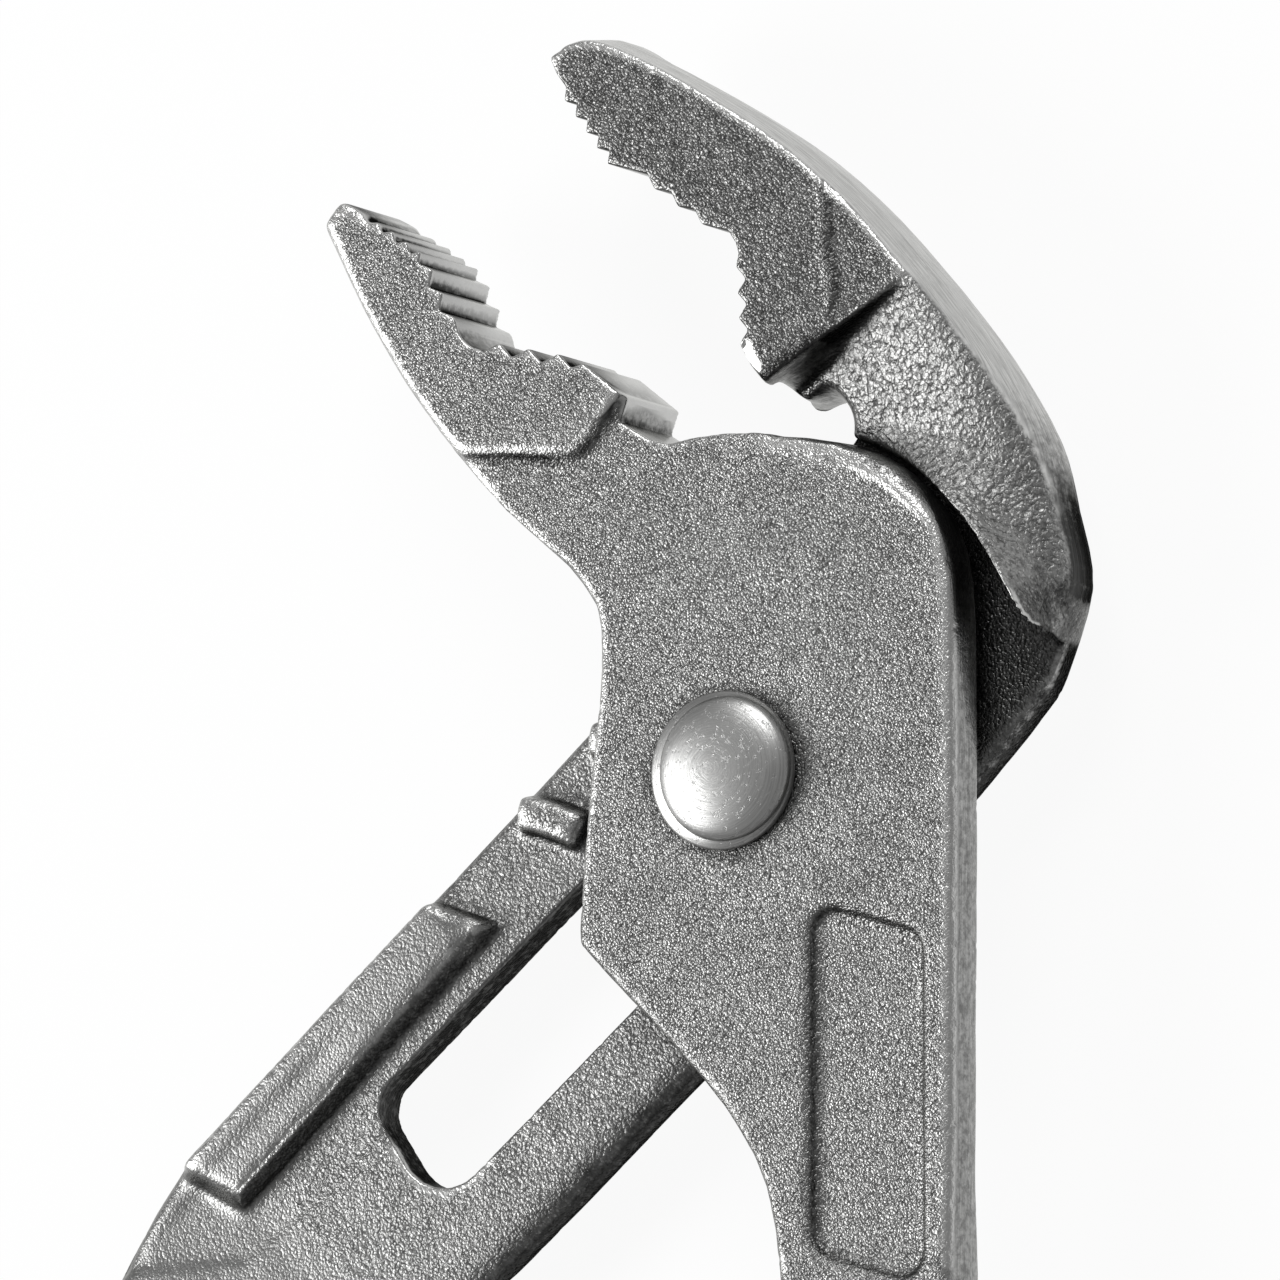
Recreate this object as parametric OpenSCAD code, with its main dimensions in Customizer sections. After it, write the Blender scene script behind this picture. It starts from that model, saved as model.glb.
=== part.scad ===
// Water pump pliers with tongue-and-groove adjustment, bare forged steel, lying flat with the bolt head up.
// Origin on the pivot axis at the back face of the nut. +X runs along the slot towards the jaws, +Z is up.
// The slotted lever is drawn where it lies. The plate lever is drawn with its handle along -Y, then turned.

/* [Pivot] */
// Diameter of the domed bolt head
head_d = 14.8; // [14:0.1:17]
// Height of the bolt head above the plate
head_h = 2.8; // [2:0.1:4]
// Height of the flat brim round the head's dome
brim_h = 1.2; // [0.8:0.1:1.8]
// Width of that brim
brim_w = 0.95; // [0.6:0.05:1.5]
// Diameter of the bolt's shoulder, which runs in the slot and the bore
shank_d = 12.4; // [10:0.1:13]
// Diameter of the bolt's threaded end
tail_d = 9.9; // [7:0.1:10]
// Radial clearance of the shoulder in the plate's bore
bore_play = 0.05; // [0.01:0.01:0.1]
// Clearance of the shoulder at each side of the slot
slot_play = 0.15; // [0.1:0.05:0.4]
// Width of the hexagon nut across its flats
nut_af = 17; // [15.5:0.5:20]
// Height of the nut
nut_h = 5; // [3:0.5:7]

/* [Adjustment] */
// Number of positions of the bolt along the slot
positions = 5; // [3:1:5]
// Distance from one position to the next
pitch = 10; // [9:0.1:10.5]
// Radius of a lug's bearing face, about the bolt's axis at that position
lug_r = 26.7; // [26:0.1:27.2]
// Width of a lug at its top
lug_w = 3.1; // [2:0.1:3.6]
// Height of the lugs and of the long ridge above the bar
lug_h = 2.3; // [1.8:0.1:3]

/* [Levers] */
// Thickness of the slotted bar
bar_t = 4.2; // [3.5:0.1:5]
// Width of the slotted bar
bar_w = 31.9; // [30:0.1:33]
// Thickness of the pivot plate
plate_t = 5.6; // [4.5:0.1:7]
// Thickness of both jaws
jaw_t = 11.4; // [10:0.1:12.5]
// Draft of the forged edges, in degrees
draft = 5; // [2:0.5:8]
// Depth of the bare panel sunk in the plate lever's handle
panel_depth = 0.9; // [0.4:0.1:1.5]

/* [Handles] */
// Width of both handles at the hand's place
grip_w = 16; // [13:0.5:18]
// Thickness of both handles there
grip_t = 9; // [8:0.5:11]
// Length of the slotted lever's handle, past the bar
slotted_grip_l = 133; // [110:1:150]
// Length of the plate lever's handle, past the plate
plate_grip_l = 145; // [120:1:160]

/* [Pose] */
// How far the plate lever is opened from jaws closed, in degrees
open_deg = 19.5; // [19:0.5:40]

/* [Hidden] */
$fn = 96;

// Heights, with the back of the slotted lever at 0
running_gap = 0.3;
plate_z0 = bar_t + lug_h + running_gap;
plate_z1 = plate_z0 + plate_t;
jaw_rise = 0.8;
jaw_z1 = plate_z1 + jaw_rise;
jaw_z0 = jaw_z1 - jaw_t;
neck_z1 = 0.6 * jaw_z1;
grip_z0 = 0.8;
grip_z1 = grip_z0 + grip_t;
past = 1;
tall = jaw_z1 + 2 * past;

// Heights of the whole tool above the face it lies on
nut_gap = 0.1;
thread_play = 0.05;
lift = nut_h + nut_gap;

// Slot and recess
bar_top = bar_w / 2 + 0.45;
bar_foot_y = bar_top - bar_w;
bar_foot_edge = 2.3;
slot_w = shank_d + 2 * slot_play;
travel = (positions - 1) * pitch;
slot_end = travel + shank_d / 2 + 4.4;
slot_round = 3.4;
slot_corner = 5;
slot_skew = 0.6;
bar_spread = 0.6;
neck_top = bar_top + bar_spread;
plate_r = 31.4;
ledge_r = plate_r + 1.2;
jaw_root_r = plate_r + 1.1;

// Lugs and tongue, as angles about the bolt from +X with the jaws closed
lug_from = 22;
lug_to = 37.8;
tongue_from = 19;
tongue_to = 42.5;
lug_slope = 0.3;
sunk = 0.5;
tongue_w = 3.4;
closed_turn = -60.5;

// Forged edge radii
jaw_edge = 1;
ground_edge = 0.4;
neck_edge = 2.6;
foot_edge = 1.4;
bar_edge = 1;
plate_edge = 1.4;
brim_edge = 0.35;

steel = [0.62, 0.62, 0.61];
bright_steel = [0.78, 0.78, 0.77];

// One cross-section of a forging: its two edges in plan, underside, top at each edge, and two edge radii
function row(a, b, z0, za, zb, ra, rb) = [a.x, a.y, b.x, b.y, z0, za, zb, ra, rb];

// Rows as a smooth curve through the given ones, with n steps between neighbours
function curve(a, b, c, d, t) =
    0.5 * (2 * b + (c - a) * t + (2 * a - 5 * b + 4 * c - d) * t * t + (3 * b - a - 3 * c + d) * t * t * t);
function fair(rows, n) = let (last = len(rows) - 1) [
    for (i = [0 : last - 1], k = [0 : n - 1])
        curve(rows[max(i - 1, 0)], rows[i], rows[i + 1], rows[min(i + 2, last)], k / n),
    rows[last]
];

// Forged edge from bottom to top as [inset, height]: rounded corners, draft to a parting line half way up
function flank(z0, z1, r) =
    let (h = z1 - z0, v = min(r, 0.4 * h), slope = tan(draft) * (0.5 * h - v))
    concat(
        [for (q = [90 : -30 : 0]) [slope + r * (1 - cos(q)), z0 + v * (1 - sin(q))]],
        [[0, z0 + 0.5 * h]],
        [for (q = [0 : 30 : 90]) [slope + r * (1 - cos(q)), z1 - v * (1 - sin(q))]]
    );

function section(s) =
    let (
        a = [s[0], s[1]],
        b = [s[2], s[3]],
        w = norm(b - a),
        u = (b - a) / w,
        left = flank(s[4], s[5], min(s[7], 0.3 * w)),
        right = flank(s[4], s[6], min(s[8], 0.3 * w)),
        top = len(left) - 1
    )
    concat(
        [for (p = right) [b.x - u.x * p[0], b.y - u.y * p[0], p[1]]],
        [for (k = [top : -1 : 0]) [a.x + u.x * left[k][0], a.y + u.y * left[k][0], left[k][1]]]
    );

// Solid through a list of rows
module forging(rows) {
    rings = [for (s = rows) section(s)];
    n = len(rings[0]);
    m = len(rings);
    polyhedron(
        points = [for (ring = rings) for (p = ring) p],
        faces = concat(
            [[for (k = [0 : n - 1]) k]],
            [[for (k = [n - 1 : -1 : 0]) (m - 1) * n + k]],
            [for (i = [0 : m - 2], k = [0 : n - 1]) [i * n + k, (i + 1) * n + k, i * n + (k + 1) % n]],
            [for (i = [0 : m - 2], k = [0 : n - 1])
                [i * n + (k + 1) % n, (i + 1) * n + k, (i + 1) * n + (k + 1) % n]]
        )
    );
}

// Rows of a handle that bends steadily: start point, heading, degrees of bend per mm, and at each distance
// the width, underside, top and edge radius
function handle_rows(start, heading, bend, marks) = [
    for (k = marks)
        let (
            turned = heading + bend * k[0],
            per_rad = 180 / PI / bend,
            c = start + per_rad * [sin(turned) - sin(heading), cos(heading) - cos(turned)],
            side = [sin(turned), -cos(turned)] * k[1] / 2
        )
        row(c + side, c - side, k[2], k[3], k[3], k[4], k[4])
];

// Rounded end of a handle, as marks for the last stretch before its full length
function handle_end(length) = [
    for (q = [0, 30, 55, 75, 86])
        let (
            cut = grip_w * 0.42 * (1 - sin(q)),
            shrink = 0.15 + 0.85 * cos(q),
            thin = 0.3 * grip_t * (1 - shrink)
        )
        [length - cut, grip_w * 1.04 * shrink, grip_z0 + thin, grip_z1 - thin, 4.2 * shrink]
];

// Row of n teeth from p to q, with every second point off to the right of that way by the depth
function teeth(p, q, n, depth) =
    let (d = (q - p) / n, out = depth * [d.y, -d.x] / norm(d))
    [for (i = [0 : n - 1]) each [p + i * d, p + (i + 0.5) * d + out]];

function arc(r, from, to, steps, at = [0, 0]) =
    [for (i = [0 : steps]) let (q = from + (to - from) * i / steps) at + r * [cos(q), sin(q)]];

// Part of a ring about the bolt, wider at its foot by the slope on each flank
module arc_ridge(r_in, r_out, foot_z, top_z, from, to) {
    rotate([0, 0, from])
        rotate_extrude(angle = to - from)
            polygon([
                [r_in - lug_slope, foot_z],
                [r_out + lug_slope, foot_z],
                [r_out, top_z],
                [r_in, top_z]
            ]);
}

// Slotted lever: upper jaw, neck, slotted bar and handle
upper_jaw_rows = [
    for (e = [
        [[28.2, 63.5], [33.6, 62.6]],
        [[27.6, 62], [35.7, 61.1]],
        [[27, 57], [38, 56.7]],
        [[26.5, 48], [41, 48]],
        [[26.5, 39.5], [43.3, 39.2]],
        [[26.3, 32], [44.4, 30.2]],
        [[26.2, 24.2], [44.5, 21.2]]
    ])
        row(e[0], e[1], jaw_z0, jaw_z1, jaw_z1, jaw_edge, ground_edge)
];

neck_rows = [
    row([26.2, 23.8], [44.5, 20.8], jaw_z0, neck_z1, jaw_z1 - 0.2, jaw_edge, ground_edge),
    row([26.6, 19.4], [43.9, 12], jaw_z0 / 2, neck_z1, jaw_z1 - 1, jaw_edge, foot_edge),
    row([26.8, neck_top], [42.1, 3], 0, neck_z1, jaw_z1 - 3, bar_edge, neck_edge),
    row([23.5, neck_top], [39, -3.3], 0, neck_z1, jaw_z1 - 5, bar_edge, neck_edge),
    row([18, neck_top], [35.2, -9.5], 0, neck_z1, jaw_z1 - 5.6, bar_edge, neck_edge),
    row([11, neck_top], [27.7, -13.5], 0, neck_z1, jaw_z1 - 6.4, bar_edge, foot_edge)
];

// Shoulder of the neck: it stands up at the recess's rim and falls to the jaw's back. Each entry has the angle
// of its inner end about the bolt, that end's drop below the jaw's face, its outer end, and that end's drop
shoulder_rows = [
    for (e = [
        [27, 5.2, [42.9, 9.4], 2.2],
        [16, 3, [41.2, 3.2], 3.6],
        [6, 1.1, [39.8, 0], 4.8],
        [-5, 0.5, [38.2, -3.1], 5.8],
        [-13, 0.4, [36.2, -6.3], 6.2],
        [-18, 0.9, [34, -8.9], 6.6],
        [-22, 2.6, [31.4, -11], 7]
    ])
        row(
            (ledge_r - sunk) * [cos(e[0]), sin(e[0])], e[2],
            bar_t - sunk, jaw_z1 - e[1], jaw_z1 - e[3], ground_edge, neck_edge
        )
];

bar_rows = [
    row([9.5, neck_top], [25.9, -14.1], 0, bar_t, bar_t, bar_edge, foot_edge),
    row([0, neck_top], [14, bar_foot_y], 0, bar_t, bar_t, bar_edge, bar_foot_edge),
    row([-12, bar_top + bar_spread / 2], [-8, bar_foot_y], 0, bar_t, bar_t, bar_edge, bar_foot_edge),
    row([-30, bar_top], [-30, bar_foot_y], 0, bar_t, bar_t, bar_edge, bar_foot_edge),
    row([-50, bar_top], [-50, bar_foot_y], 0, bar_t, bar_t, bar_edge, bar_foot_edge),
    row([-67, bar_top], [-65, bar_foot_y + 1.6], 0, bar_t, bar_t, bar_edge, bar_foot_edge)
];

slotted_grip_rows = handle_rows([-72, 1], 186, 0.085, concat(
    [
        [6, 26, 0, bar_t + 0.6, 2],
        [16, 21.5, 0, bar_t + 1.6, 2.8],
        [30, 18.6, 0.2, 7.8, 3.4],
        [48, grip_w + 1, 0.5, 9.2, 4],
        [70, grip_w, grip_z0, grip_z1, 4.2],
        [100, grip_w, grip_z0, grip_z1, 4.2]
    ],
    handle_end(slotted_grip_l)
));

// Open side of the upper jaw: tip, fine and coarse teeth, pocket, three more teeth, heel, inside of the neck
upper_mouth = concat(
    [[5, 75], [32.2, 75], [32, 63.9], [31, 62.7], [30.6, 61.5], [30.5, 60.4]],
    teeth([30.45, 59.7], [29.65, 50.05], 5, 0.95),
    teeth([31.05, 47.4], [33, 38.4], 3, 0.75),
    [[33.5, 37.3], [33.3, 35.9], [32.9, 35]],
    teeth([31.85, 34.15], [27.35, 28.5], 3, -0.95),
    [[27.35, 28.5], [26.8, 26.4]],
    arc(1.6, 180, 265, 5, [27.9, 22.8]),
    [[29.8, 21.1], [30.2, 20.4], [30.1, 18.8]],
    arc(2, 0, -90, 3, [28.1, 18.8]),
    [[5, neck_top + 0.4]]
);

// Slot for the bolt's shoulder, with its far end skewed
module slot() {
    side = slot_w / 2;
    translate([0, 0, -past])
        linear_extrude(height = tall)
            union() {
                circle(r = side);
                polygon(concat(
                    [[0, -side], [0, side]],
                    arc(slot_round, 90, 180, 6, [slot_round - slot_end, side - slot_round]),
                    arc(slot_corner, 180, 270, 5, [slot_corner - slot_end - slot_skew, slot_corner - side])
                ));
            }
}

module lugs() {
    intersection() {
        for (k = [0 : positions - 1])
            translate([-k * pitch, 0, 0])
                arc_ridge(lug_r - lug_w, lug_r, bar_t - sunk, bar_t + lug_h, lug_from, lug_to);
        translate([-travel, 0, 0]) cube([travel + 2 * lug_r, bar_top - 0.3, tall]);
    }
}

module long_ridge() {
    from = lug_r - travel - 15.4;
    foot = [[from, 9], [from - 4, bar_top - 0.4], [-69.6, bar_top - 1], [-67, 7.9]];
    top = [[from - 0.8, 9.9], [from - 4, bar_top - 0.7], [-67.8, bar_top - 1.2], [-65.4, 8.9]];
    hull() {
        translate([0, 0, bar_t - sunk]) linear_extrude(height = sunk) polygon(foot);
        translate([0, 0, bar_t + lug_h - sunk]) linear_extrude(height = sunk) polygon(top);
    }
}

module slotted_lever() {
    color(steel)
        translate([0, 0, lift])
            difference() {
                union() {
                    difference() {
                        union() {
                            forging(concat(
                                fair(upper_jaw_rows, 3),
                                fair(neck_rows, 4),
                                fair(concat(bar_rows, slotted_grip_rows), 2)
                            ));
                            forging(fair(shoulder_rows, 3));
                        }
                        translate([0, 0, bar_t]) cylinder(r = ledge_r, h = tall);
                    }
                    lugs();
                    long_ridge();
                }
                slot();
                translate([0, 0, -past]) linear_extrude(height = tall) polygon(upper_mouth);
            }
}

// Plate lever: lower jaw, pivot plate, tongue and handle
lower_jaw_rows = [
    for (e = [
        [[-42.7, 53.8], [-37.7, 59.2]],
        [[-40.1, 48.7], [-32, 57]],
        [[-37.3, 43.6], [-25, 52.5]],
        [[-34.3, 38.8], [-18, 48]],
        [[-31.3, 34.7], [-12, 43.5]],
        [[-27.6, 30.1], [-7, 39]],
        [[-23.5, 25.7], [-2, 35]]
    ])
        row(e[0], e[1], jaw_z0, jaw_z1, jaw_z1, jaw_edge, jaw_edge)
];

plate_rows = [
    for (e = [
        [[-17, 19.9], [5.5, 31], jaw_z0],
        [[-14.1, 16], [11.7, 30], jaw_z0],
        [[-13.4, 11.8], [17.8, 26.8], plate_z0],
        [[-13.6, 7.3], [22, 22], plate_z0],
        [[-14.2, 2.5], [23.5, 16.5], plate_z0],
        [[-14.9, -4], [23.75, 8], plate_z0],
        [[-15.7, -13.8], [23.75, -4], plate_z0],
        [[-14.7, -16.2], [23.75, -8], plate_z0],
        [[-8.7, -22.3], [23.65, -16], plate_z0],
        [[-2.8, -28.4], [23.55, -24], plate_z0],
        [[0.9, -33.2], [23.5, -31], plate_z0],
        [[3.6, -38.5], [23.4, -38], plate_z0],
        [[5, -47], [23.15, -47], plate_z0 - 1]
    ])
        row(e[0], e[1], e[2], plate_z1 + 0.2, plate_z1 + 0.2, plate_edge, plate_edge)
];

plate_grip_rows = handle_rows([14, -52], 270, -0.115, concat(
    [
        [6, 18.6, 4.6, plate_z1 + 0.2, 2.2],
        [16, 17.6, 2.6, plate_z1 - 0.2, 2.8],
        [30, 16.8, 1.2, plate_z1 - 0.8, 3.4],
        [50, grip_w, grip_z0, grip_z1 + 0.2, 4],
        [75, grip_w, grip_z0, grip_z1, 4.2],
        [110, grip_w, grip_z0, grip_z1, 4.2]
    ],
    handle_end(plate_grip_l)
));

// Open side of the lower jaw: tip, teeth, pocket, three more teeth, plain heel, then the rim of the plate
lower_mouth = concat(
    [[-44, 62], [-40.2, 56.3], [-37.9, 55.05]],
    teeth([-37.4, 54], [-31.3, 49.6], 4, -0.75),
    teeth([-31.85, 49.65], [-28.6, 42.7], 3, -1.05),
    arc(3.1, 185, 260, 5, [-24.8, 44.05]),
    teeth([-25.1, 40.75], [-15.7, 38.55], 3, -1.1),
    [[-15.7, 38.55], [-14.4, 38.85], [-10.2, 35.5], [-11, 33.3], [-8, 31.4]],
    arc(plate_r, 101, 80, 4),
    [[9, 40], [-20, 70]]
);

// Edge where the lower jaw stands proud of the plate
jaw_step = concat(
    [[-40, 31.4], [-27.2, 31.2], [-21.2, 30.8], [-16.4, 30.2]],
    arc(4.4, -75, -15, 4, [-16.9, 34.5]),
    [[-10.4, 36], [-9, 41], [40, 41], [40, -80], [-40, -80]]
);

// Sunk panel on the handle, with slanted ends
module panel() {
    corner = 2.2;
    panel_x = [10.9, 17.9];
    panel_y = [-15.4, -43];
    slant = -0.3;
    hull()
        for (x = panel_x, y = panel_y)
            translate([x, y + slant * (x - panel_x[0])]) circle(r = corner, $fn = 32);
}

module tongue() {
    inner_r = lug_r + 2 * lug_slope;
    translate([0, 0, plate_z0 + sunk])
        mirror([0, 0, 1])
            arc_ridge(
                inner_r, inner_r + tongue_w, 0, sunk + lug_h,
                tongue_from - closed_turn, tongue_to - closed_turn
            );
}

module plate_lever() {
    color(steel)
        translate([0, 0, lift])
            rotate([0, 0, closed_turn + open_deg])
                difference() {
                    union() {
                        difference() {
                            forging(concat(
                                fair(lower_jaw_rows, 3),
                                fair(concat(plate_rows, plate_grip_rows), 2)
                            ));
                            translate([0, 0, -past]) cylinder(r = jaw_root_r, h = plate_z0 + past);
                            translate([0, 0, plate_z1]) linear_extrude(height = tall) polygon(jaw_step);
                        }
                        tongue();
                    }
                    translate([0, 0, -past]) linear_extrude(height = tall) polygon(lower_mouth);
                    translate([0, 0, -past]) cylinder(d = shank_d + 2 * bore_play, h = tall);
                    translate([0, 0, plate_z1 - panel_depth]) linear_extrude(height = tall) panel();
                }
}

// Shoulder bolt: domed head with a brim on the plate, shoulder down to the nut, threaded end in the nut
module pivot_bolt() {
    seat = lift + plate_z1;
    head_r = head_d / 2;
    cap_r = head_r - brim_w;
    rise = head_h - brim_h;
    dome_r = (cap_r * cap_r + rise * rise) / (2 * rise);
    color(bright_steel)
        rotate_extrude()
            intersection() {
                union() {
                    square([tail_d / 2, nut_h + past]);
                    translate([0, nut_h]) square([shank_d / 2, plate_z1 + nut_gap + brim_edge]);
                    translate([0, seat]) square([head_r - brim_edge, brim_h]);
                    translate([0, seat + brim_edge]) square([head_r, brim_h - 2 * brim_edge]);
                    for (z = [brim_edge, brim_h - brim_edge])
                        translate([head_r - brim_edge, seat + z]) circle(r = brim_edge);
                    intersection() {
                        translate([0, seat + head_h - dome_r]) circle(r = dome_r);
                        translate([0, seat]) square([cap_r, head_h]);
                    }
                }
                square([head_d, seat + 2 * head_h]);
            }
}

// Hexagon nut, with the corners of both faces turned off
module pivot_nut() {
    across_corners = nut_af / cos(30);
    face_r = nut_af / 2 - 0.3;
    turned = across_corners / 2 - face_r;
    cut = turned * tan(30);
    color(bright_steel)
        difference() {
            intersection() {
                cylinder(d = across_corners, h = nut_h, $fn = 6);
                rotate_extrude()
                    polygon([
                        [0, 0],
                        [face_r, 0],
                        [face_r + turned, cut],
                        [face_r + turned, nut_h - cut],
                        [face_r, nut_h],
                        [0, nut_h]
                    ]);
            }
            translate([0, 0, -past]) cylinder(d = tail_d + 2 * thread_play, h = nut_h + 2 * past);
        }
}

slotted_lever();
plate_lever();
pivot_bolt();
pivot_nut();
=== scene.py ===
import math

import bmesh
import bpy
import numpy as np
from mathutils import Matrix, Vector, noise


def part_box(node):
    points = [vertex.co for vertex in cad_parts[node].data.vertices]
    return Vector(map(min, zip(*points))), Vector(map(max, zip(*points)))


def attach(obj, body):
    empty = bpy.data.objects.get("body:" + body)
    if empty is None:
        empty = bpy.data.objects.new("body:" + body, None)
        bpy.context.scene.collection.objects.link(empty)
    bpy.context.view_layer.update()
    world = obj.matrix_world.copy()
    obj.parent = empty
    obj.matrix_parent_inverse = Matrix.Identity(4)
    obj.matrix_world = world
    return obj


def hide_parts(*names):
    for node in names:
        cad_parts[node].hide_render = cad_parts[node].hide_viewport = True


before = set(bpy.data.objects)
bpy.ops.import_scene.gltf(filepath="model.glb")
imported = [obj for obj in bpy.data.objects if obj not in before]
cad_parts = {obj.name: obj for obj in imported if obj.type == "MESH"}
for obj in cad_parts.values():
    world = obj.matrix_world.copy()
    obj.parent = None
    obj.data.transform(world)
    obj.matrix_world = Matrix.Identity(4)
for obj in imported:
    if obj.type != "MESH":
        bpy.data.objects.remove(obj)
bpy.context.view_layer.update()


# Slotted lever: the rear half of the pliers, one drop forging of carbon steel from upper jaw to handle end.
# The dies leave drafted walls, soft edges and a grained skin. The jaw's back is ground, its teeth are milled.
MM = 0.001
forging_grid = 0.22 * MM
forging_triangles = 190000
rounding_passes = 30


def settle(piece):
    """Turns a piece's modifiers into its own mesh."""
    shaped = piece.evaluated_get(bpy.context.evaluated_depsgraph_get())
    mesh = bpy.data.meshes.new_from_object(shaped)
    piece.modifiers.clear()
    piece.data = mesh


def forged_blank(node, name):
    """A lever's solid as one even fine mesh that lies on the solid's own faces."""
    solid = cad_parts[node]
    blank = bpy.data.objects.new(name, solid.data.copy())
    bpy.context.scene.collection.objects.link(blank)
    grid = blank.modifiers.new("grid", "REMESH")
    grid.mode = "VOXEL"
    grid.voxel_size = forging_grid
    fit = blank.modifiers.new("fit", "SHRINKWRAP")
    fit.target = solid
    settle(blank)
    return blank


def read_columns(mesh, what):
    """The points or normals of a mesh, one row each."""
    values = np.empty(3 * len(mesh.vertices), np.float32)
    mesh.vertices.foreach_get(what, values)
    return values.reshape(-1, 3).astype(float)


def write_places(mesh, places):
    mesh.vertices.foreach_set("co", places.astype(np.float32).ravel())
    mesh.update()


def neighbour_table(mesh):
    """Every point's neighbours in one row, where each point's begin in it, and how many it has."""
    ends = np.empty(2 * len(mesh.edges), np.int32)
    mesh.edges.foreach_get("vertices", ends)
    ends = ends.reshape(-1, 2)
    ways = np.concatenate([ends, ends[:, ::-1]])
    ways = ways[np.argsort(ways[:, 0], kind="stable")]
    starts = np.searchsorted(ways[:, 0], np.arange(len(mesh.vertices)))
    return ways[:, 1], starts, np.diff(np.append(starts, len(ways)))


def neighbour_mean(values, table):
    near, starts, counts = table
    return (np.add.reduceat(values[near], starts, axis=0).T / counts).T


def soften(values, table, passes):
    """Evens out a value over the points around each point."""
    for _ in range(passes):
        values = neighbour_mean(values, table)
    return values


def relax(places, table, weight, passes):
    """Draws points towards their neighbours, by their weights, which rounds edges."""
    near, starts, counts = table
    moved = np.flatnonzero(weight > 0.001)
    counts = counts[moved]
    first = np.cumsum(counts) - counts
    near = near[np.repeat(starts[moved] - first, counts) + np.arange(counts.sum())]
    share = weight[moved, None]
    places = places.copy()
    for _ in range(passes):
        mean = np.add.reduceat(places[near], first, axis=0) / counts[:, None]
        places[moved] += share * (mean - places[moved])
    return places


def bulge(places, normals, table):
    """How far in mm each point stands out of its surroundings, above 0 on edges and below 0 in corners."""
    evened = soften(places, table, 16)
    return soften(np.einsum("ij,ij->i", places - evened, normals), table, 2) / MM


def step(value, start, end):
    """0 before start, 1 after end, and a smooth rise between them."""
    t = np.clip((value - start) / (end - start), 0, 1)
    return t * t * (3 - 2 * t)


def band(value, start, end, blur):
    """1 between start and end, and 0 outside them, with a soft change of that width."""
    return step(value, start - blur, start + blur) * (1 - step(value, end - blur, end + blur))


def off_path(x, y, path):
    """Signed distance of each point from a line through the path's points, above 0 on the line's left."""
    nearest = np.full(len(x), np.inf)
    signed = np.zeros(len(x))
    for (ax, ay), (bx, by) in zip(path, path[1:]):
        length = math.hypot(bx - ax, by - ay)
        ux, uy = (bx - ax) / length, (by - ay) / length
        along = np.clip((x - ax) * ux + (y - ay) * uy, 0, length)
        away = np.hypot(x - ax - along * ux, y - ay - along * uy)
        side = np.sign(ux * (y - ay) - uy * (x - ax))
        signed = np.where(away < nearest, side * away, signed)
        nearest = np.minimum(nearest, away)
    return signed


def lumps(places, size_mm, seed):
    """Rolling noise of about that size, from -1 to 1, at each point."""
    offset = Vector((seed, 2 * seed, 3 * seed))
    return np.array([noise.noise(Vector(p) + offset) for p in places / (size_mm * MM)])


def paint(mesh, name, values):
    """Keeps a value from 0 to 1 for each point of a mesh, for its material to read."""
    kept = mesh.attributes.new(name, "FLOAT", "POINT")
    kept.data.foreach_set("value", np.clip(values, 0, 1).astype(np.float32))


def thin_out(piece):
    """Drops the points that a lever's flat stretches don't need."""
    faces = piece.modifiers.new("fewer", "DECIMATE")
    faces.ratio = forging_triangles / (2 * len(piece.data.polygons))
    settle(piece)
    piece.data.polygons.foreach_set("use_smooth", [True] * len(piece.data.polygons))


slotted = forged_blank("slotted_lever", "slotted_lever_forging")
table = neighbour_table(slotted.data)
places = read_columns(slotted.data, "co")
normals = read_columns(slotted.data, "normal")

# Places in mm, in the shared frame: x towards the jaws, y towards the lugs, z up to the bolt's head
x, y, z = (places / MM).T
nx, _, nz = soften(normals, table, 2).T
bar_thickness = 4.2
recess_r = 32.9
back_face = z.min()
jaw_face = z.max()
bar_face = back_face + bar_thickness
reach = np.hypot(x, y)

# Walls, by where they lie: the ground back of the jaw, its milled mouth with the heel and the hollow under it
upright = 1 - step(np.abs(nz), 0.5, 0.8)
behind_mouth = x - 33.8 + 0.4 * np.maximum(y - 58, 0)
in_mouth = upright * (1 - step(behind_mouth, -0.4, 0))
ground = (1 - step(np.abs(nz), 0.25, 0.4)) * step(nx, -0.1, 0.2)
ground *= step(behind_mouth, 0, 0.6) * step(y, -17, -14)
toothed = in_mouth * step(y, 28.2, 28.6)
heel = in_mouth * band(y, 25.4, 28.4, 0.2)
hollow = in_mouth * band(y, 16.6, 25.2, 0.3) * step(x, 25.5, 26)

# Faces that look up: the jaw's, the neck's, the recess that the plate turns in, and the lugs' side of the bar
facing = step(nz, 0.35, 0.6)
jaw_top = facing * step(z, jaw_face - 0.6, jaw_face - 0.3) * step(y, 21.5, 23)
neck = step(nz, 0.2, 0.45) * step(reach, recess_r - 0.3, recess_r + 0.2)
neck *= (1 - step(y, 20.5, 22.5)) * step(x, 24, 27)
recess = (1 - step(reach, recess_r - 0.6, recess_r)) * step(x, 8, 14) * step(z, bar_face - 1, bar_face - 0.4)
lug_strip = (1 - step(x, 21, 24)) * step(y, 7, 7.8)
raised = step(z, bar_face + 0.3, bar_face + 0.8) * lug_strip
lug_side = step(z, bar_face - 0.7, bar_face - 0.3) * lug_strip
grip = 1 - step(x, -66, -58)
jaw_foot = band(y, 18.5, 25, 1) * band(z, back_face + 5.6, jaw_face - 0.9, 0.4) * step(behind_mouth, -6, -4)

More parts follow.
